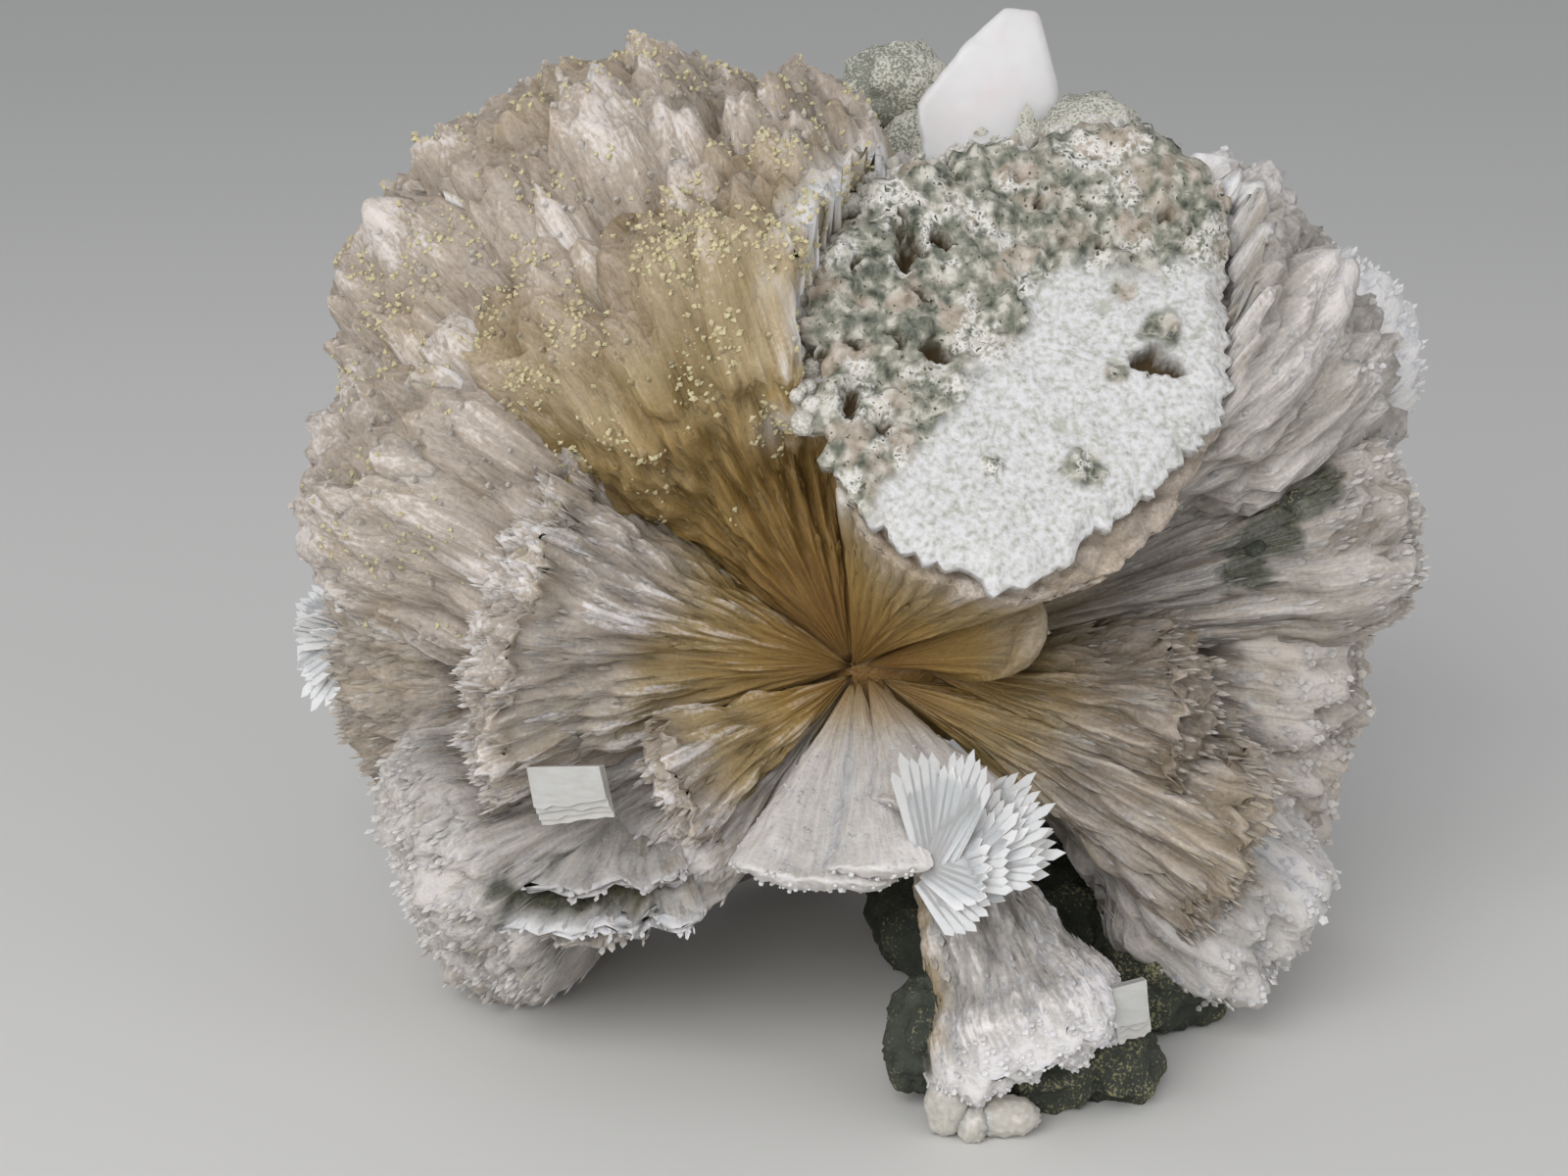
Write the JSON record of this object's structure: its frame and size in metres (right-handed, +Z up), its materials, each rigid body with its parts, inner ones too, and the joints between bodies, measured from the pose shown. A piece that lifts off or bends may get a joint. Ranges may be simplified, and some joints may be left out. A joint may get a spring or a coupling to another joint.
{
  "type": "mineral specimen",
  "caption": "Stilbite specimen: sheaves of pearly laths fanned out from one point like the petals of a flower, with a broken crust-covered face, dark rock and a pointed crystal.",
  "frame": {"origin": "on the resting surface, below the middle of the specimen's box", "axes": "+Z up; +X to the right and +Y away from the viewer who sees the sheaves open towards them; the specimen is longest along X"},
  "size_m": [0.066, 0.0436, 0.0538],
  "materials": {
    "stilbite": "pearly",
    "crust": "matte, chalky",
    "green_rock": "rough",
    "dark_rock": "rough",
    "clear_crystal": "translucent, glossy",
    "white_blades": "pearly",
    "pale_beads": "waxy"
  },
  "bodies": {
    "root": {"stilbite_sheaves": "stilbite", "matrix_crust": "crust", "matrix_crest": "green_rock", "matrix_foot": "dark_rock", "pointed_crystal": "clear_crystal", "white_sheaf": "white_blades", "foot_beads": "pale_beads", "left_blades": "white_blades"}
  },
  "joints": []
}
